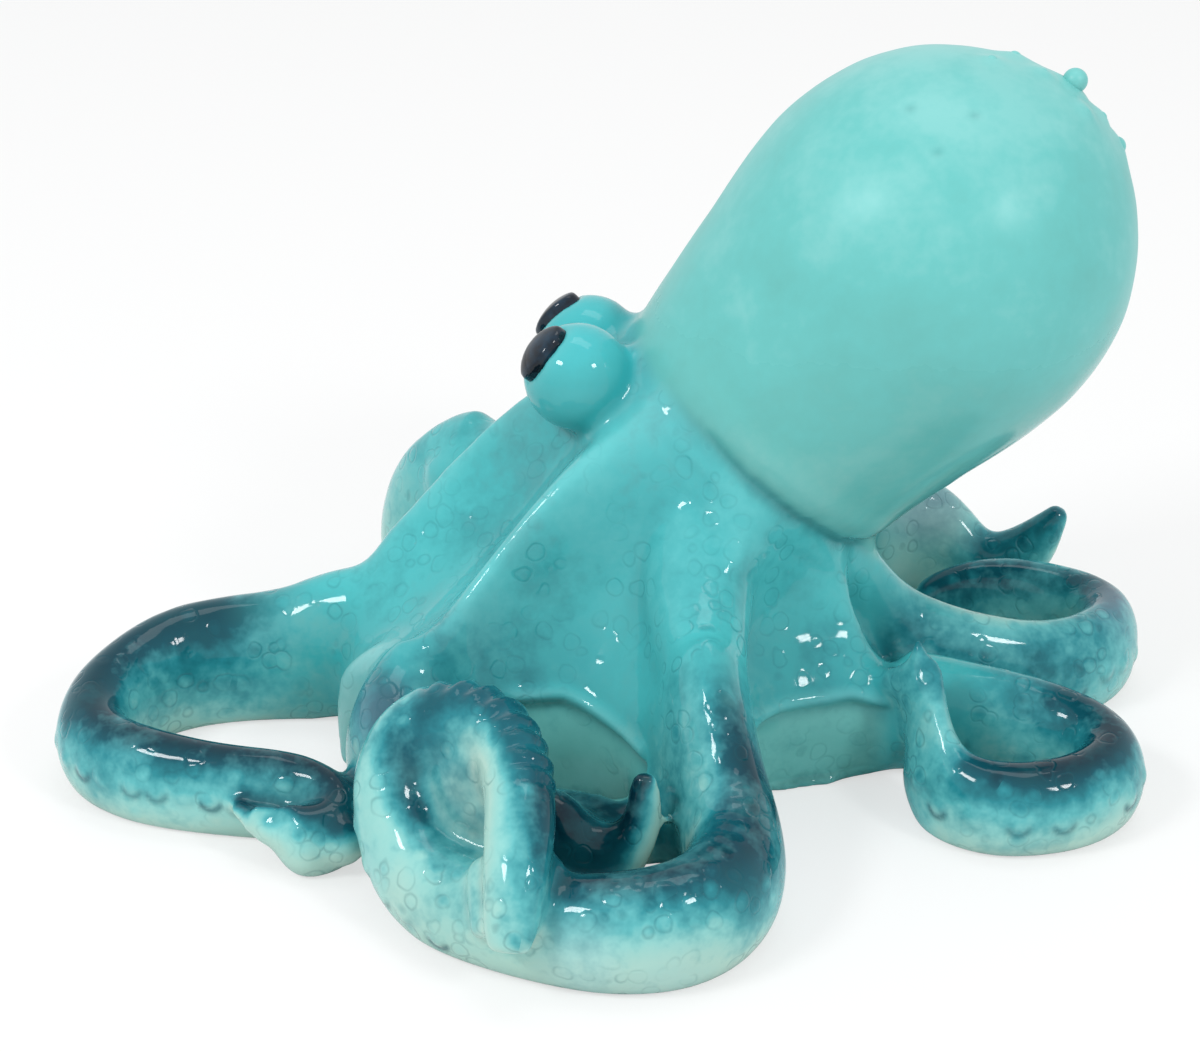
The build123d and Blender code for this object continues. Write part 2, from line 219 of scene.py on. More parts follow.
# The clay: all castings, and the slip worked in between them, joined into one skin
skin = {
    "voxel": 1.0 * mm,
    "slip": 1.5 * mm,  # crevices narrower than twice this fill up
    "lip": 2 * mm,  # how deep the hidden cap of a piece lies under its rim
    "evenPasses": 7,
    "armJoin": (5.25 * mm, 15 * mm, 160),  # smoothed fully within, not at all past, and passes
    "eyeJoin": (1.5 * mm, 6 * mm, 40),
    "neckJoin": (1 * mm, 4 * mm, 12),
    "ventPlug": {"place": (24, 0, 5), "radius": 6, "height": 14},
    "beadSpacing": 1.5,
    "rolls": [  # clay rolls that carry an arm's ridge up the web: x, y, z, radius in mm
        [(10.5, -60, 49, 12.5), (10, -46, 54, 14), (9.8, -37, 63, 14), (9.6, -30, 72, 12.5)],
        [(-54, -105, 13, 9), (-45, -109, 14, 9), (-36, -116, 14, 8)],
        [(-36, -71, 6, 10), (-20, -79, 8, 10), (-7, -82, 9, 10), (3, -80, 9, 9)],
        [(-27.5, -128, 26, 4), (-28.5, -137, 18, 3.5)], [(-42.5, -128, 25, 4), (-42.5, -138, 17, 3.5)],
        [(-79, -34, 4, 6), (-79.5, -34, 18, 6), (-79, -34, 28, 5), (-72, -36, 34, 5)],
        [(-80, -86, 9, 7), (-90, -86, 9.5, 6), (-98, -83, 10.5, 4.6), (-103, -80.5, 12, 2.8),
         (-107, -78.5, 13.5, 1.6)],
        [(66, -7, 29, 9), (60, -7, 36, 9), (54, -9, 46, 8), (50, -12, 55, 7)],
        [(56, 60, 33, 12.5), (47, 51, 37, 13), (39, 42, 46, 12), (34, 35, 57, 8)],
        [(5, 70, 27, 12), (3, 60, 36, 12), (3.5, 52, 48, 9)],
        [(-53, 52, 46, 13), (-43, 44, 53, 13), (-30, 32.5, 62, 11), (-22, 26, 70, 9), (-16, 20, 79, 6)],
        [(68, -52, 30, 5), (66.5, -49, 38, 3.4), (66, -47.5, 43.5, 2.2)],
        [(66.5, -49, 38, 3.2), (60, -44, 32, 4)],
    ],
    "web": {"place": (-46.5, -104.5, 26), "size": (15, 5.5, 21), "turn": -37},  # closes the left arm's loop
}
castings = ["body", "mantle", "left_eye", "right_eye"] + list(armRoutes)
armLabel = len(castings) - len(armRoutes)  # castings from this one on are arms

form = bmesh.new()
owner = []
for number, name in enumerate(castings):
    before = len(form.faces)
    form.from_mesh(frame["nodes"][name].data)
    owner += [number] * (len(form.faces) - before)
owner = np.array(owner)
cadTree = BVHTree.FromBMesh(form)
bmesh.ops.remove_doubles(form, verts=form.verts, dist=0.001 * mm)
plug = skin["ventPlug"]
bmesh.ops.create_cone(form, cap_ends=True, segments=24, radius1=plug["radius"] * mm,
                      radius2=plug["radius"] * mm, depth=plug["height"] * mm,
                      matrix=Matrix.Translation(Vector(plug["place"]) * mm))
for roll in skin["rolls"]:
    for first, second in zip(roll, roll[1:]):
        first, second = np.array(first), np.array(second)
        beads = max(int(np.linalg.norm(second[:3] - first[:3]) / skin["beadSpacing"]), 1)
        for t in np.linspace(0, 1, beads + 1):
            x, y, z, radius = first + (second - first) * t
            ball = bmesh.ops.create_icosphere(form, subdivisions=3, radius=radius * mm,
                                              matrix=Matrix.Translation(Vector((x, y, z)) * mm))
            for vertex in ball["verts"]:
                vertex.co.z = max(vertex.co.z, 0)  # nothing hangs below the foot
web = skin["web"]
webPlace = Matrix.Translation(Vector(web["place"]) * mm) @ Matrix.Rotation(math.radians(web["turn"]), 4, "Z")
webPlace = webPlace @ Matrix.Diagonal((*web["size"], 1))
bmesh.ops.create_icosphere(form, subdivisions=4, radius=mm, matrix=webPlace)
mesh = bpy.data.meshes.new("clay")
form.to_mesh(mesh)
form.free()
clay = newObject("clay", mesh)
remesh(clay, skin["voxel"])
swell(clay, skin["slip"])
remesh(clay, skin["voxel"])
swell(clay, -skin["slip"])
remesh(clay, skin["voxel"])

shell = bmesh.new()  # only the outer surface stays, since nothing sees the inner one
shell.from_mesh(clay.data)
shell.verts.ensure_lookup_table()
start = max(shell.verts, key=lambda vertex: vertex.co.z)
start.tag = True
front = [start]
while front:
    found = [e.other_vert(v) for v in front for e in v.link_edges]
    front = []
    for vertex in found:
        if not vertex.tag:
            vertex.tag = True
            front.append(vertex)
bmesh.ops.delete(shell, geom=[v for v in shell.verts if not v.tag], context="VERTS")
shell.to_mesh(clay.data)
shell.free()
print("clay form", len(clay.data.vertices), "vertices")

# Which casting each vertex belongs to
places = points(clay.data)
label = np.array([owner[cadTree.find_nearest(Vector(p))[2]] for p in places])
pairs = edgePairs(clay.data)
mixed = label[pairs[:, 0]] != label[pairs[:, 1]]
low = np.minimum(label[pairs[:, 0]], label[pairs[:, 1]])
high = np.maximum(label[pairs[:, 0]], label[pairs[:, 1]])


def seamDistance(chosen):
    return nearestSpot(places, places[np.unique(pairs[chosen].ravel())])[1]


armGap = seamDistance(mixed & (high >= armLabel) & (low < 2))
eyeGap = seamDistance(mixed & ((high == 2) | (high == 3)))
neckGap = seamDistance(mixed & (high == 1))
smooth(clay, skin["evenPasses"])
for seamGap, join in ((armGap, "armJoin"), (eyeGap, "eyeJoin"), (neckGap, "neckJoin")):
    within, past, passes = skin[join]
    smooth(clay, passes, 1 - smoothStep(seamGap, within, past))
print("joins smoothed")


def routeSamples(rows):  # centre, along, side, up, half width, half height and distance, about every mm
    rows = np.array(rows) * mm
    ends = np.vstack([2 * rows[0] - rows[1], rows, 2 * rows[-1] - rows[-2]])
    found, station = [], []
    for i in range(1, len(ends) - 2):
        steps = max(int(np.linalg.norm(ends[i + 1, :3] - ends[i, :3]) / mm), 2)
        t = np.linspace(0, 1, steps, endpoint=False)[:, None]
        p0, p1, p2, p3 = ends[i - 1], ends[i], ends[i + 1], ends[i + 2]
        found.append(0.5 * (2 * p1 + (p2 - p0) * t + (2 * p0 - 5 * p1 + 4 * p2 - p3) * t ** 2
                            + (3 * p1 - p0 - 3 * p2 + p3) * t ** 3))
        station.append(i - 1 + t[:, 0])
    found = np.vstack(found)
    centre = found[:, :3]
    along = np.gradient(centre, axis=0)
    along /= np.linalg.norm(along, axis=1)[:, None]
    side = np.empty_like(along)
    last = None
    for number, direction in enumerate(along):
        level = np.cross(direction, (0, 0, 1))
        if last is None:
            last = level
        last = last - direction * last.dot(direction)
        if np.linalg.norm(level) > 0.35:
            last = level if level.dot(last) > 0 else -level
        last = last / np.linalg.norm(last)
        side[number] = last
    up = np.cross(side, along)
    distance = np.concatenate([[0], np.cumsum(np.linalg.norm(np.diff(centre, axis=0), axis=1))])
    return centre, along, side, up, found[:, 3] / 2, found[:, 4] / 2, distance, np.concatenate(station)


# Where the airbrush struck: station, direction, strength. An arm without a table was struck from above
fromAbove = (0, 0, 1)
brush = {
    "front_arm": [(0, (0, -0.4, 0.9), 0.45), (1.5, (0, -0.4, 0.9), 0.85), (4, (0, -0.3, 0.95), 0.9),
                  (5.5, (0, -0.15, 1), 0.95), (10, (0, -0.15, 1), 1), (12, (0, 0.25, 1), 0.95),
                  (13, (0, 0.3, 1), 1)],
    "left_arm": [(0, (0.5, -0.3, 0.8), 0.6), (1.5, (0.5, -0.3, 0.8), 0.9), (3, (0.4, -0.2, 0.9), 1),
                 (5, (0, 0.2, 1), 1), (6, (0, 0.15, 1), 1), (7, (0.1, 0.1, 1), 0.85),
                 (8, (0.5, 0, 0.8), 0.35), (9, (0.9, -0.1, 0.5), 0.5), (10, (0.95, -0.2, 0.3), 1),
                 (11, (0.75, -0.5, 0.4), 0.9), (12, (0.3, -0.75, 0.6), 0.85),
                 (13, (0.35, -0.6, 0.75), 0.9), (14, (0.6, -0.35, 0.7), 0.95),
                 (15, (0.8, -0.35, 0.5), 1), (16, (0.7, -0.4, 0.5), 0.9), (18, (0.5, 0, 0.6), 0.4)],
    "front_left_arm": [(0, (-0.2, 0, 1), 0.5), (2, fromAbove, 0.9), (4, (0.1, -0.5, 0.8), 1.15),
                       (7, (0.1, -0.6, 0.8), 1.2), (8, (-0.6, -0.3, 0.7), 1.1), (10, (-0.5, -0.4, 0.9), 1.5)],
    "rear_left_arm": [(0, (0, -0.6, 0.8), 0.35), (2, (0, -0.5, 0.8), 0.6), (3, (0, -0.3, 0.9), 0.85),
                      (4, fromAbove, 1), (6, (0, -0.1, 1), 1), (7, (0, -0.1, 1), 0.9), (8, (0, -0.2, 1), 0.6),
                      (9, (0.3, -0.5, 0.8), 0.4), (11, (0.5, -0.6, 0.6), 0.5)],
    "rear_arm": [(0, (0.1, -0.95, 0.1), 0.62), (2, (0.1, -0.95, 0.1), 0.62), (3.4, (0.1, -0.8, 0.5), 0.55),
                 (5, fromAbove, 0.75), (6, (0, -0.6, 0.8), 0.75), (9, (0, -0.6, 0.8), 0.8)],
    "rear_right_arm": [(0, fromAbove, 0.1), (3, fromAbove, 0.1), (4.2, (0, -0.7, 0.7), 0.6),
                       (7, (0, -0.6, 0.8), 0.75)],
    "front_right_arm": [(0, fromAbove, 0.4), (2, fromAbove, 0.6), (6, fromAbove, 0.9)],
}
# The least that the brush left on an arm, by station
leastStruck = {
    "left_arm": [(0, 0.32), (2.6, 0.28), (4, -1), (8, -1), (9.5, 0.06), (12, 0.15), (13, 0.3), (14, -1)],
    "rear_left_arm": [(0, -1), (7, -1), (8, 0.2), (9, 0.3), (11, 0.3)],
}
# The arm's own tones come in between these places along it, in mm
toneStart = {"other": (4, 42), "left_arm": (-2, 24), "front_left_arm": (-2, 24), "rear_arm": (-6, 12)}
# Scallops: which side of the arm, from and to along it in mm, spacing, how far up its side in degrees
scallops = {
    "front_arm": (1, 62, 205, 6.8, 2), "rear_left_arm": (-1, 50, 128, 8.2, 4),
    "left_arm": (-1, 132, 165, 7.5, -15), "rear_arm": (1, 30, 95, 7.5, 0),
    "front_right_arm": (1, 30, 150, 7.5, 0), "right_arm": (1, 20, 90, 7.5, 0),
}
scallop = {"radius": 3.0 * mm, "cup": 0.55, "rim": 0.35, "rimAt": 2.7, "rimWidth": 1.0, "endGap": 8}
suckers = {
    "arm": "left_arm", "direction": (0.6, 0.1, 0.8), "spacing": 4.7 * mm, "height": 0.75 * mm,
    "stations": (12.2, 12.6, 15.5, 16.0),  # start, full height, full height, end
    "rootStations": (0.6, 1.2, 3.5, 5), "rootShare": 0.35,  # low ribs on the root's inner side
}

places = points(clay.data)
facing = normals(clay.data)
count = len(places)
alongArm, ribs, cupped, dorsal = np.zeros(count), np.zeros(count), np.zeros(count), facing[:, 2].copy()
rootFade = np.array([toneStart["other"]]).T * mm * np.ones(count)
spots = []
for number, (name, rows) in enumerate(armRoutes.items()):
    centre, along, side, up, halfWidth, halfHeight, distance, station = routeSamples(rows)
    members = np.nonzero(label == armLabel + number)[0]
    nearest = np.empty(len(members), dtype=int)
    for part in np.array_split(np.arange(len(members)), len(members) // 4000 + 1):
        offset = places[members[part]][:, None, :] - centre[None]
        u = np.einsum("ijk,jk->ij", offset, side) / halfWidth
        v = np.einsum("ijk,jk->ij", offset, up) / halfHeight
        w = np.einsum("ijk,jk->ij", offset, along)
        nearest[part] = np.argmin(np.hypot(u, v) + np.abs(w) / (8 * mm), axis=1)
    alongArm[members] = distance[nearest]
    rootFade[:, members] = np.array([toneStart.get(name, toneStart["other"])]).T * mm
    here = station[nearest]
    if name in brush:
        at, directions, strengths = zip(*brush[name])
        struck = np.stack([np.interp(here, at, axis) for axis in zip(*directions)], axis=1)
        struck /= np.linalg.norm(struck, axis=1)[:, None]
        dorsal[members] = np.einsum("ij,ij->i", struck, facing[members]) * np.interp(here, at, strengths)
    if name in leastStruck:
        dorsal[members] = np.maximum(dorsal[members], np.interp(here, *zip(*leastStruck[name])))
    if name == suckers["arm"]:
        direction = np.array(suckers["direction"]) / np.linalg.norm(suckers["direction"])
        start, full, fading, stop = suckers["stations"]
        outer = smoothStep(here, start, full) * (1 - smoothStep(here, fading, stop))
        outer *= smoothStep(facing[members] @ direction, 0.35, 0.7)
        twist = distance[nearest] / suckers["spacing"] * fullTurn
        ribs[members] = outer * np.cos(twist + 1.5 * waver(places[members], 9 * mm))
        start, full, fading, stop = suckers["rootStations"]
        inner = smoothStep(here, start, full) * (1 - smoothStep(here, fading, stop))
        inner *= smoothStep(facing[members, 2], 0.75, 0.95)
        ribs[members] += suckers["rootShare"] * inner * np.cos(twist)
        cupped[members] = np.maximum(outer, 0.6 * inner)
    if name in scallops:
        sign, start, stop, spacing, tilt = scallops[name]
        for at in np.arange(start, min(stop, distance[-1] / mm - scallop["endGap"]), spacing):
            i = np.searchsorted(distance, at * mm)
            angle = math.radians(tilt + 7 * math.sin(at * 1.9))  # no two sit quite alike
            spots.append(centre[i] + side[i] * sign * halfWidth[i] * math.cos(angle)
                         + up[i] * halfHeight[i] * math.sin(angle) + along[i] * mm * 1.2 * math.sin(at * 3.7))
print("arm places found")

nearSpot, spotGap = nearestSpot(places, spots)
spots = np.array(spots)
below = (spots[nearSpot, 2] - places[:, 2]) / mm
armMask = (label >= armLabel).astype(float)
cup = np.clip(1 - (spotGap / scallop["radius"]) ** 2, 0, 1) * armMask
crescent = bell(spotGap / mm - scallop["rimAt"], scallop["rimWidth"]) * smoothStep(below, -1.0, 1.5) * armMask
crescent *= 0.55 + 0.45 * np.sin(nearSpot * 2.4)  # some took more glaze than others

# The web's front edge: above it the glaze is airbrushed, below it stands a plain wall
ledge = {
    "line": [(-40, 31), (-34, 30), (-25, 30.5), (-17, 28), (-10, 26), (-3, 23), (5, 22), (22, 24), (31, 25.5),
             (42, 25.5), (50, 26), (58, 24)],  # x and z in mm
    "lip": 1.4, "lipAt": 1.6, "lipWidth": 1.9, "step": 2.2,
}
lineX, lineZ = zip(*ledge["line"])
x, y, z = places.T / mm
over = z - np.interp(x, lineX, lineZ)
onFront = (label == 0) * smoothStep(-y, 38, 44) * smoothStep(x, -42, -36) * (1 - smoothStep(x, 56, 62))
lip = bell(over - ledge["lipAt"], ledge["lipWidth"]) * onFront
wall = smoothStep(-over, -0.3, 1.0) * onFront

# Folds in the skin where the mantle hangs over the web
folds = {"groove": 1.7, "grooveWidth": 1.8, "bulge": 0.9, "bulgeAt": 7, "bulgeWidth": 4.5,
         "ripple": 0.5, "rippleSpacing": 5.5, "rippleReach": 9}
gap = neckGap / mm
onMantle, onWeb = label == 1, label == 0
nearSide = smoothStep(-y, 12, 26)
hung = smoothStep(x, -4, 26) * nearSide
crease = bell(gap, folds["grooveWidth"]) * (label < 2) * hung
torn = 0.6 + 0.8 * waver(places, 14 * mm, 3)
ripple = torn * np.cos(gap / folds["rippleSpacing"] * fullTurn) * bell(gap, folds["rippleReach"])
ripple *= smoothStep(gap, 2, 4) * onWeb * nearSide
fold = folds["bulge"] * bell(gap - folds["bulgeAt"], folds["bulgeWidth"]) * onMantle * hung
fold += folds["ripple"] * ripple - folds["groove"] * crease

# Warts: round knobs stay as they are, and small ones sink into the mantle with a low swelling round them
wartSizes = {"round": 2.9, "sunk": 0.8, "swelling": 1.1, "swellingShare": 1.6, "swellingMore": 0.5}
mantleForm = bmesh.new()
mantleForm.from_mesh(frame["nodes"]["mantle"].data)
mantleTree = BVHTree.FromBMesh(mantleForm)
mantleForm.free()
wartForm = bmesh.new()
wartForm.from_mesh(frame["nodes"]["warts"].data)
bmesh.ops.remove_doubles(wartForm, verts=wartForm.verts, dist=0.001 * mm)
knobs = []
waiting = set(wartForm.verts)
while waiting:
    knob = [waiting.pop()]
    for vertex in knob:
        for edge in vertex.link_edges:
            other = edge.other_vert(vertex)
            if other in waiting:
                waiting.remove(other)
                knob.append(other)
    middle = sum((v.co for v in knob), Vector()) / len(knob)
    radius = max((v.co - middle).length for v in knob)
    hit, outward, _, _ = mantleTree.find_nearest(middle)
    sink = 0 if radius > wartSizes["round"] * mm else wartSizes["sunk"] * radius
    for vertex in knob:
        vertex.co -= outward * sink
    knobs.append((middle, radius))
mesh = bpy.data.meshes.new("warts_glazed")
wartForm.to_mesh(mesh)
wartForm.free()
for polygon in mesh.polygons:
    polygon.use_smooth = True
for name, value in (("mantle", 1.0), ("pool", 0.3)):
    setAttribute(mesh, name, np.full(len(mesh.vertices), value))
warts = newObject("warts_glazed", mesh)
nearKnob, knobGap = nearestSpot(places, [knob[0] for knob in knobs])
knobSize = np.array([knob[1] for knob in knobs])[nearKnob]
swelling = bell(knobGap, wartSizes["swellingShare"] * knobSize + wartSizes["swellingMore"] * mm)
swelling *= wartSizes["swelling"] * onMantle
print("warts", [round(knob[1] / mm, 2) for knob in knobs])

dimples = {"places": [(60.4, -23.9, 178.6), (75.9, -27.1, 177.8), (66.3, -35.5, 171.1)],
           "depth": 0.5, "radius": 1.3}
pitGap = nearestSpot(places, [Vector(p) * mm for p in dimples["places"]])[1]
pit = bell(pitGap / mm, dimples["radius"]) * onMantle

hand = {"wide": (22, 0.35), "fine": (9, 0.12)}  # size and height in mm of the clay's unevenness
uneven = waver(places, hand["wide"][0] * mm, 5) * hand["wide"][1]
uneven += waver(places, hand["fine"][0] * mm, 6) * hand["fine"][1]
relief = uneven + scallop["cup"] * cup - scallop["rim"] * crescent + ledge["lip"] * lip - ledge["step"] * wall
relief = (relief + fold + swelling - dimples["depth"] * pit) * mm + suckers["height"] * ribs
relief = spread(relief, pairs, 2)
relief *= smoothStep(z, 0, 3)  # the foot stays flat
setPoints(clay.data, places + facing * relief[:, None])
smooth(clay, 1)
print("relief", relief.min(), relief.max())

# Values that the glaze reads
ghost = newObject("ghost", clay.data.copy())
smooth(ghost, 60)
pool = np.einsum("ij,ij->i", points(clay.data) - points(ghost.data), normals(clay.data)) / mm
bpy.data.objects.remove(ghost)

# Soft airbrushed patches on the web: x, y, z, radius in mm, strength
patches = {
    "shade": [(40, -62, 12, 17, 0.45), (10, -52, 62, 12, 0.2), (10, -44, 74, 11, 0.15),
        (-56, -97, 41, 9, 0.6), (-54, -97, 31, 7, 0.4), (-48, -102, 51, 8, 0.3), (-50, -54, 42, 16, 0.6),
        (-38, -52, 36, 12, 0.4), (-24, -50, 40, 11, 0.25), (22, -49, 36, 12, 0.3),
        (48, -42, 32, 15, 0.3), (63, -16, 20, 14, 0.45), (-62, -52, 32, 12, 0.55),
        (-52, -110, 38, 9, 0.45), (-44, -112, 30, 5, 0.4)],
    "pale": [(-81, -38, 18, 15, 0.75), (-78, -36, 34, 10, 0.5), (-20, -146, 9, 11, 0.55),
        (0, -146, 4, 11, 0.4), (-66, -112, 6, 16, 0.3), (84, 62, 32, 11, 0.7)],
    "lilac": [(-70, -62, 28, 10, 0.5), (-74, -50, 24, 8, 0.4), (26, -88, 30, 8, 0.55),
        (126, 12, 27, 12, 0.45), (78, 60, 36, 13, 0.55), (-92, 62, 60, 14, 0.5)],
}
values = {
    "arm": spread(armMask, pairs, 30), "mantle": spread(onMantle * 1.0, pairs, 14),
    "eye": spread(((label == 2) | (label == 3)) * 1.0, pairs, 4), "dorsal": spread(dorsal, pairs, 4),
    "root": spread(smoothStep(alongArm, rootFade[0], rootFade[1]), pairs, 6), "pool": spread(pool, pairs, 3),
    # crease: painted shade along the neck crease under the mantle and in the mantle's dimples
    "crescent": crescent, "wall": spread(wall, pairs, 3), "crease": crease + 0.7 * pit,
}
for name, spotsHere in patches.items():
    field = np.zeros(count)
    for px, py, pz, radius, strength in spotsHere:
        off = np.linalg.norm(places / mm - (px, py, pz), axis=1)
        field = np.maximum(field, strength * (1 - smoothStep(off, 0.3 * radius, 1.6 * radius)))
    values[name] = field
between = spread(0.9 * cupped * (0.75 - 0.25 * np.sign(ribs)), pairs, 2)  # darkest between the suckers
values["shade"] = np.maximum(values["shade"], between)
for name, field in values.items():
    setAttribute(clay.data, name, np.asarray(field, dtype=float))

# Back into the castings, each closed by a cap under its rim
smoothNormals = normals(clay.data)
best = np.full(count, -1.0)
winner = label.copy()
for number in range(len(castings)):
    vote = spread((label == number).astype(float), pairs, 10)
    better = vote > best
    best[better] = vote[better]
    winner[better] = number
corners = np.empty(len(clay.data.loops), dtype=np.int32)
clay.data.loops.foreach_get("vertex_index", corners)
starts = np.empty(len(clay.data.polygons), dtype=np.int32)
clay.data.polygons.foreach_get("loop_start", starts)
faceLabel = winner[corners[starts]]
pieces = {}
for number, name in enumerate(castings):
    part = bmesh.new()
    part.from_mesh(clay.data)
    home = part.verts.layers.int.new("home")
    for vertex in part.verts:
        vertex[home] = vertex.index
    bmesh.ops.delete(part, geom=[f for f in part.faces if faceLabel[f.index] != number], context="FACES")
    rim = [e for e in part.edges if e.is_boundary]
    inner = bmesh.ops.extrude_edge_only(part, edges=rim)["geom"]
    for vertex in inner:
        if isinstance(vertex, bmesh.types.BMVert):
            vertex.co -= Vector(smoothNormals[vertex[home]]) * skin["lip"]
    rim = [e for e in inner if isinstance(e, bmesh.types.BMEdge) and e.is_boundary]
    bmesh.ops.holes_fill(part, edges=rim, sides=0)
    bmesh.ops.triangulate(part, faces=[f for f in part.faces if len(f.verts) > 4])
    mesh = bpy.data.meshes.new(name + "_glazed")
    part.to_mesh(mesh)
    homes = [v[home] for v in part.verts]
    part.free()
    mesh.attributes.remove(mesh.attributes["home"])
    for polygon in mesh.polygons:
        polygon.use_smooth = True
    mesh.normals_split_custom_set_from_vertices([tuple(n) for n in smoothNormals[homes]])
    pieces[name] = newObject(name + "_glazed", mesh)
    print(name, len(mesh.polygons), "faces")
bpy.data.objects.remove(clay)

def addNode(tree, kind, inputs=None, **settings):
    node = tree.nodes.new(kind)
    for key, value in settings.items():
        setattr(node, key, value)
    for key, value in (inputs or {}).items():
        if isinstance(value, bpy.types.NodeSocket):
            tree.links.new(value, node.inputs[key])
        else:
            node.inputs[key].default_value = value
    return node


def ramp(tree, factor, stops):
    node = addNode(tree, "ShaderNodeValToRGB", {"Fac": factor})
    elements = node.color_ramp.elements
    while len(elements) < len(stops):
        elements.new(0.5)
    for element, (position, colour) in zip(elements, stops):
        element.position = position
        element.color = (*colour, 1)
    return node.outputs["Color"]


def maths(tree, operation, a, b=0.0, c=0.0, clamp=False):
    node = addNode(tree, "ShaderNodeMath", {0: a, 1: b, 2: c}, operation=operation, use_clamp=clamp)
    return node.outputs[0]


def mixColour(tree, factor, a, b, blend="MIX"):
    node = addNode(tree, "ShaderNodeMix", data_type="RGBA", blend_type=blend)
    for socket, value in ((node.inputs[0], factor), (node.inputs[6], a), (node.inputs[7], b)):
        if isinstance(value, bpy.types.NodeSocket):
            tree.links.new(value, socket)
        else:
            socket.default_value = value if isinstance(value, (int, float)) else (*value, 1)
    return node.outputs[2]


def noiseNode(tree, place, scale, detail=2.0, roughness=0.5):
    given = {"Vector": place, "Scale": scale, "Detail": detail, "Roughness": roughness}
    return addNode(tree, "ShaderNodeTexNoise", given).outputs


def share(tree, value, low, high, least=0.0, most=1.0):
    return addNode(tree, "ShaderNodeMapRange", {0: value, 1: low, 2: high, 3: least, 4: most}).outputs[0]


def newGroup(name, inputs, outputs):
    group = bpy.data.node_groups.new(name, "ShaderNodeTree")
    for key, value in inputs.items():
        group.interface.new_socket(key, in_out="INPUT", socket_type="NodeSocketFloat").default_value = value
    for key, kind in outputs.items():
        group.interface.new_socket(key, in_out="OUTPUT", socket_type="NodeSocket" + kind)
    return group, group.nodes.new("NodeGroupInput").outputs, group.nodes.new("NodeGroupOutput").inputs


# Marks that the kiln left; sizes in metres, the others are shares of a cell or of the effect
marks = {
    "ringSize": 0.0062, "bend": 0.004, "randomness": 0.85, "ringAt": 0.40, "ringWidth": 0.075,
    "cellReach": 0.42, "patches": (0.42, 0.62), "fineShare": 0.35, "middle": 0.675,
    "groove": -0.5, "peel": 0.12,
}


def ringGroup():  # the small rings in the glaze, and its mottling
    group, given, result = newGroup("glazeRings", {"Ring Size": marks["ringSize"], "Strength": 1.0},
                                    {"Ring": "Float", "Cell": "Float", "Mottle": "Float", "Height": "Float"})
    place = addNode(group, "ShaderNodeTexCoord").outputs["Object"]
    shifted = addNode(group, "ShaderNodeMix", {0: marks["bend"]}, data_type="VECTOR")
    group.links.new(place, shifted.inputs[4])
    group.links.new(noiseNode(group, place, 110.0)["Color"], shifted.inputs[5])
    scale = maths(group, "DIVIDE", 1.0, given["Ring Size"])
    cells = addNode(group, "ShaderNodeTexVoronoi", {"Vector": shifted.outputs[1], "Scale": scale,
                                                    "Randomness": marks["randomness"]})
    apart = cells.outputs["Distance"]
    ring = maths(group, "ABSOLUTE", maths(group, "SUBTRACT", apart, marks["ringAt"]))
    ring = maths(group, "SUBTRACT", 1.0, maths(group, "DIVIDE", ring, marks["ringWidth"]), clamp=True)
    patch = share(group, noiseNode(group, place, 70.0)["Fac"], *marks["patches"])
    ring = maths(group, "MULTIPLY", maths(group, "MULTIPLY", ring, patch), given["Strength"])
    inside = maths(group, "SUBTRACT", 1.0, maths(group, "DIVIDE", apart, marks["cellReach"]), clamp=True)
    tint = addNode(group, "ShaderNodeSeparateColor", {0: cells.outputs["Color"]}).outputs[0]
    cell = maths(group, "MULTIPLY", inside, maths(group, "SUBTRACT", tint, 0.5))
    cell = maths(group, "MULTIPLY", cell, given["Strength"])
    wide = noiseNode(group, place, 42.0, 2.5)["Fac"]
    fine = noiseNode(group, place, 300.0, 2.0, 0.55)["Fac"]
    mottle = maths(group, "MULTIPLY_ADD", fine, marks["fineShare"], wide)
    mottle = maths(group, "SUBTRACT", mottle, marks["middle"])
    peel = maths(group, "MULTIPLY", noiseNode(group, place, 150.0, 1.0)["Fac"], marks["peel"])
    height = maths(group, "MULTIPLY_ADD", ring, marks["groove"], peel)
    for name, value in {"Ring": ring, "Cell": cell, "Mottle": mottle, "Height": height}.items():
        group.links.new(value, result[name])
    return group


glazeRings = ringGroup()

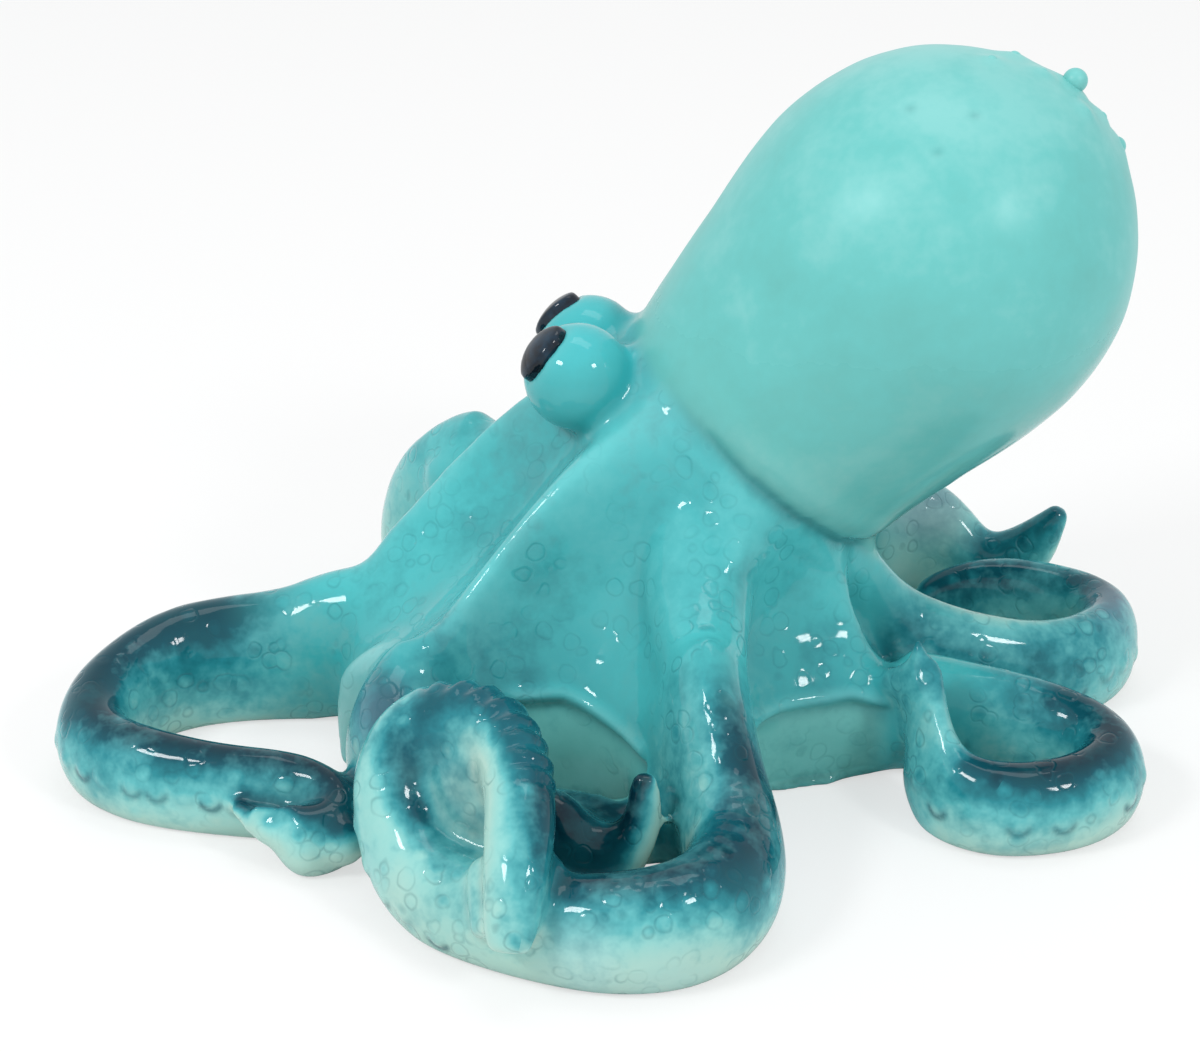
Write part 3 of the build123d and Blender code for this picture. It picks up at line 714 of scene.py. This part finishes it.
# Heights in metres. A ramp's places are shares of the way between its heights; Mottle is how unevenly it lies
glaze = {
    "webHeights": (0.0, 0.115), "webMottle": 0.9,
    "web": [(0.0, (0.070, 0.33, 0.33)), (0.18, (0.045, 0.37, 0.39)), (0.38, (0.070, 0.455, 0.475)),
            (0.7, (0.072, 0.445, 0.465)), (1.0, (0.125, 0.45, 0.465))],
    # The mantle's ramp is darkest a third of the way up and palest at the top: painted shade low on the
    # mantle and painted light on its top
    "mantleHeights": (0.055, 0.187), "mantleMottle": 1.2,
    "mantle": [(0.0, (0.17, 0.475, 0.445)), (0.35, (0.125, 0.445, 0.42)), (0.7, (0.13, 0.485, 0.465)),
               (1.0, (0.19, 0.53, 0.51))],
    # The eyes' ramp is darker at the bottom and paler on top: painted shade below and painted light above
    "eyeHeights": (0.088, 0.118), "eyeMottle": 0.8,
    "eye": [(0.0, (0.035, 0.30, 0.31)), (1.0, (0.038, 0.42, 0.455))],
    "armMottle": 0.42, "armCells": 0.26,
    "arm": [(0.0, (0.40, 0.55, 0.48)), (0.36, (0.37, 0.59, 0.52)), (0.52, (0.25, 0.56, 0.53)),
            (0.63, (0.10, 0.42, 0.44)), (0.74, (0.022, 0.23, 0.27)), (0.86, (0.003, 0.075, 0.105)),
            (1.0, (0.001, 0.022, 0.038))],
    "wall": (0.15, 0.47, 0.44), "wallShare": 0.95,
    "pale": (0.36, 0.60, 0.58), "paleMottle": (1.5, 0.9),
    "shade": (0.004, 0.10, 0.14), "shadeMottle": (2.2, 0.85),
    "lilac": (0.20, 0.27, 0.36), "lilacMottle": (2.0, 0.8),
    "foot": (0.02, 0.17, 0.17), "footHeights": (0.0042, 0.0004), "footMottle": 0.012,
    "pooled": (0.010, 0.15, 0.18), "blotch": (0.0, 0.2), "blotchShare": 0.3, "poolShare": 0.5,
    "thin": (0.24, 0.64, 0.64), "bloom": (-0.02, -0.2), "bloomShare": 0.16, "edgeShare": 0.32,
    "line": (0.004, 0.09, 0.12), "lineShare": 0.72, "ringShare": 0.42, "crescentShare": 1.15,
    "creaseShare": 0.35,
    "satinHeights": (0.085, 0.135), "satin": (0.05, 0.28), "gloss": 0.06, "glossMottle": 0.06,
}


def toneGroup():  # the colour of the glaze, from how it was brushed and where it pooled, with painted shade in the neck crease and dimples and painted shade and light by height on the mantle and eyes
    group, given, result = newGroup("glazeTone", {"Rings": 1.0},
                                    {"Color": "Color", "Roughness": "Float", "Height": "Float"})
    place = addNode(group, "ShaderNodeTexCoord").outputs["Object"]
    z = addNode(group, "ShaderNodeSeparateXYZ", {0: place}).outputs["Z"]
    rings = addNode(group, "ShaderNodeGroup", node_tree=glazeRings)
    group.links.new(given["Rings"], rings.inputs["Strength"])
    ring, cell, mottle = rings.outputs["Ring"], rings.outputs["Cell"], rings.outputs["Mottle"]
    read = {key: addNode(group, "ShaderNodeAttribute", attribute_name=key).outputs["Fac"] for key in values}

    def byHeight(name):
        height = share(group, z, *glaze[name + "Heights"])
        return ramp(group, maths(group, "MULTIPLY_ADD", mottle, glaze[name + "Mottle"], height), glaze[name])

    def mottled(name):
        uneven, least = glaze[name + "Mottle"]
        broken = maths(group, "MULTIPLY_ADD", mottle, uneven, least)
        return maths(group, "MULTIPLY", read[name], broken, clamp=True)

    tone = byHeight("web")
    tone = mixColour(group, maths(group, "MULTIPLY", read["wall"], glaze["wallShare"]), tone, glaze["wall"])
    struck = maths(group, "MULTIPLY_ADD", read["dorsal"], 0.5, 0.5)
    struck = maths(group, "MULTIPLY_ADD", mottle, glaze["armMottle"], struck)
    struck = maths(group, "MULTIPLY_ADD", cell, glaze["armCells"], struck)
    armTone = mixColour(group, read["root"], tone, ramp(group, struck, glaze["arm"]))
    tone = mixColour(group, read["arm"], tone, armTone)
    tone = mixColour(group, mottled("pale"), tone, glaze["pale"])
    shade = maths(group, "MULTIPLY", mottled("shade"), maths(group, "SUBTRACT", 1.0, read["wall"]))
    tone = mixColour(group, shade, tone, glaze["shade"])
    tone = mixColour(group, mottled("lilac"), tone, glaze["lilac"])
    blotch = maths(group, "MULTIPLY", share(group, mottle, *glaze["blotch"]), glaze["blotchShare"])
    tone = mixColour(group, blotch, tone, glaze["pooled"])
    bloom = maths(group, "MULTIPLY", share(group, mottle, *glaze["bloom"]), glaze["bloomShare"])
    tone = mixColour(group, bloom, tone, glaze["thin"])
    foot = share(group, maths(group, "MULTIPLY_ADD", mottle, glaze["footMottle"], z), *glaze["footHeights"])
    offArm = maths(group, "SUBTRACT", 0.85, maths(group, "MULTIPLY", read["arm"], 0.7))
    foot = maths(group, "MULTIPLY", foot, offArm)
    tone = mixColour(group, foot, tone, glaze["foot"])
    # painted shade and light: the mantle and the eyes are coloured darker low down and paler on top
    tone = mixColour(group, read["mantle"], tone, byHeight("mantle"))
    tone = mixColour(group, read["eye"], tone, byHeight("eye"))
    pooled = maths(group, "MULTIPLY", read["pool"], -glaze["poolShare"], clamp=True)
    tone = mixColour(group, pooled, tone, glaze["pooled"])
    thin = maths(group, "MULTIPLY", read["pool"], glaze["edgeShare"], clamp=True)
    thin = maths(group, "MULTIPLY", thin, maths(group, "SUBTRACT", 1.0, read["arm"]))
    tone = mixColour(group, thin, tone, glaze["thin"])
    crescents = maths(group, "MULTIPLY", read["crescent"], glaze["crescentShare"], clamp=True)
    line = maths(group, "MAXIMUM", maths(group, "MULTIPLY", ring, glaze["ringShare"]), crescents)
    # painted shade darkens the neck crease and the dimples
    line = maths(group, "MAXIMUM", line, maths(group, "MULTIPLY", read["crease"], glaze["creaseShare"]))
    tone = mixColour(group, line, tone, mixColour(group, glaze["lineShare"], tone, glaze["line"]))
    group.links.new(tone, result["Color"])
    satin = share(group, z, *glaze["satinHeights"], *glaze["satin"])
    rough = maths(group, "MULTIPLY_ADD", read["mantle"], satin, glaze["gloss"])
    group.links.new(maths(group, "MULTIPLY_ADD", mottle, glaze["glossMottle"], rough), result["Roughness"])
    group.links.new(rings.outputs["Height"], result["Height"])
    return group


glazeTone = toneGroup()


def glazeMaterial(name, rings):
    material = bpy.data.materials.new(name)
    material.use_nodes = True
    tree = material.node_tree
    shader = tree.nodes["Principled BSDF"]
    tone = addNode(tree, "ShaderNodeGroup", node_tree=glazeTone)
    tone.inputs["Rings"].default_value = rings
    tree.links.new(tone.outputs["Color"], shader.inputs["Base Color"])
    tree.links.new(tone.outputs["Roughness"], shader.inputs["Roughness"])
    shader.inputs["IOR"].default_value = 1.45
    shader.inputs["Specular IOR Level"].default_value = 0.28
    dents = {"Height": tone.outputs["Height"], "Strength": 0.3, "Distance": 0.9 * mm}
    bump = addNode(tree, "ShaderNodeBump", dents)
    tree.links.new(bump.outputs["Normal"], shader.inputs["Normal"])
    return material


ringStrength = {"arm_glaze": 1.0, "body_glaze": 0.55, "mantle_glaze": 0.0, "eye_glaze": 0.0}
glazeMaterials = {slot: glazeMaterial(slot, strength) for slot, strength in ringStrength.items()}
slotOf = {part["node"]: part["material_slot"] for part in frame["record"]["subparts"]}
pieces["warts"] = warts
for name, piece in pieces.items():
    piece.data.materials.clear()
    piece.data.materials.append(glazeMaterials[slotOf[name]])
    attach(piece, "root")
    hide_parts(name)

# Pupils: beads of black glaze, a little proud of the eyes
pupil = {"proud": 0.45 * mm, "voxel": 0.5 * mm, "black": (0.004, 0.007, 0.012), "navy": (0.008, 0.030, 0.055)}
black = bpy.data.materials.new("pupilGlaze")
black.use_nodes = True
tree = black.node_tree
cloud = noiseNode(tree, addNode(tree, "ShaderNodeTexCoord").outputs["Object"], 260.0, 3.0)["Fac"]
blackTone = ramp(tree, cloud, [(0.35, pupil["black"]), (0.7, pupil["navy"])])
tree.links.new(blackTone, tree.nodes["Principled BSDF"].inputs["Base Color"])
tree.nodes["Principled BSDF"].inputs["Roughness"].default_value = 0.07
tree.nodes["Principled BSDF"].inputs["Specular IOR Level"].default_value = 0.3
for name in ("left_pupil", "right_pupil"):
    bead = bmesh.new()
    bead.from_mesh(frame["nodes"][name].data)
    bmesh.ops.remove_doubles(bead, verts=bead.verts, dist=0.001 * mm)
    mesh = bpy.data.meshes.new(name + "_bead")
    bead.to_mesh(mesh)
    bead.free()
    bead = newObject(name + "_bead", mesh)
    swell(bead, pupil["proud"])
    remesh(bead, pupil["voxel"])
    smooth(bead, 12)
    bead.data.materials.clear()
    bead.data.materials.append(black)
    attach(bead, "root")
    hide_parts(name)
print("glazed")

# Floor, backdrop, light and camera
stage = {"floor": 3.0, "shadow": 0.62, "ambient": 0.72}
plane = bmesh.new()
bmesh.ops.create_grid(plane, x_segments=1, y_segments=1, size=stage["floor"])
mesh = bpy.data.meshes.new("floor")
plane.to_mesh(mesh)
plane.free()
floor = newObject("floor", mesh)
paper = bpy.data.materials.new("paper")
paper.use_nodes = True
tree = paper.node_tree
diffuse = tree.nodes["Principled BSDF"]
diffuse.inputs["Base Color"].default_value = (0.86, 0.87, 0.87, 1)
diffuse.inputs["Roughness"].default_value = 0.6
diffuse.inputs["Specular IOR Level"].default_value = 0.2
white = addNode(tree, "ShaderNodeEmission", {"Color": (1, 1, 1, 1), "Strength": 1.0})
rays = addNode(tree, "ShaderNodeLightPath").outputs["Is Camera Ray"]
blend = addNode(tree, "ShaderNodeMixShader", {0: maths(tree, "MULTIPLY", rays, stage["shadow"]),
                                              1: diffuse.outputs[0], 2: white.outputs[0]})
tree.links.new(blend.outputs[0], tree.nodes["Material Output"].inputs["Surface"])
floor.data.materials.append(paper)

world = bpy.data.worlds.new("studio")
bpy.context.scene.world = world
world.use_nodes = True
tree = world.node_tree
path = addNode(tree, "ShaderNodeLightPath")
seen = maths(tree, "ADD", path.outputs["Is Camera Ray"], path.outputs["Is Glossy Ray"])
seen = maths(tree, "ADD", seen, path.outputs["Is Transmission Ray"], clamp=True)
strength = maths(tree, "MULTIPLY_ADD", seen, 1 - stage["ambient"], stage["ambient"])
tree.nodes["Background"].inputs["Color"].default_value = (1, 1, 1, 1)
tree.links.new(strength, tree.nodes["Background"].inputs["Strength"])

lamps = [  # name, place, aim, width, height, watts
    ("windowLeft", (-0.9, -0.7, 1.1), (0, 0, 0.06), 0.42, 0.22, 9),
    ("windowRight", (0.9, -0.9, 1.0), (0, 0, 0.06), 0.26, 0.22, 6),
    ("ceiling", (0.1, 0.2, 1.5), (0, 0, 0.05), 0.9, 0.4, 3),
]
for name, place, aim, width, height, watts in lamps:
    lamp = bpy.data.lights.new(name, "AREA")
    lamp.shape = "RECTANGLE"
    lamp.size = width
    lamp.size_y = height
    lamp.energy = watts
    holder = newObject(name, lamp)
    holder.location = place
    holder.rotation_euler = (Vector(aim) - Vector(place)).to_track_quat("-Z", "Y").to_euler()

view = {"place": (-0.0153, -0.7040, 0.3832), "down": 25, "lens": 2880 / 1200 * 36}
camera = bpy.data.cameras.new("camera")
camera.sensor_fit = "HORIZONTAL"
camera.sensor_width = 36
camera.lens = view["lens"]
cameraHolder = newObject("camera", camera)
cameraHolder.location = view["place"]
cameraHolder.rotation_euler = (math.radians(90 - view["down"]), 0, 0)
bpy.context.scene.camera = cameraHolder
bpy.context.scene.view_settings.view_transform = "Standard"
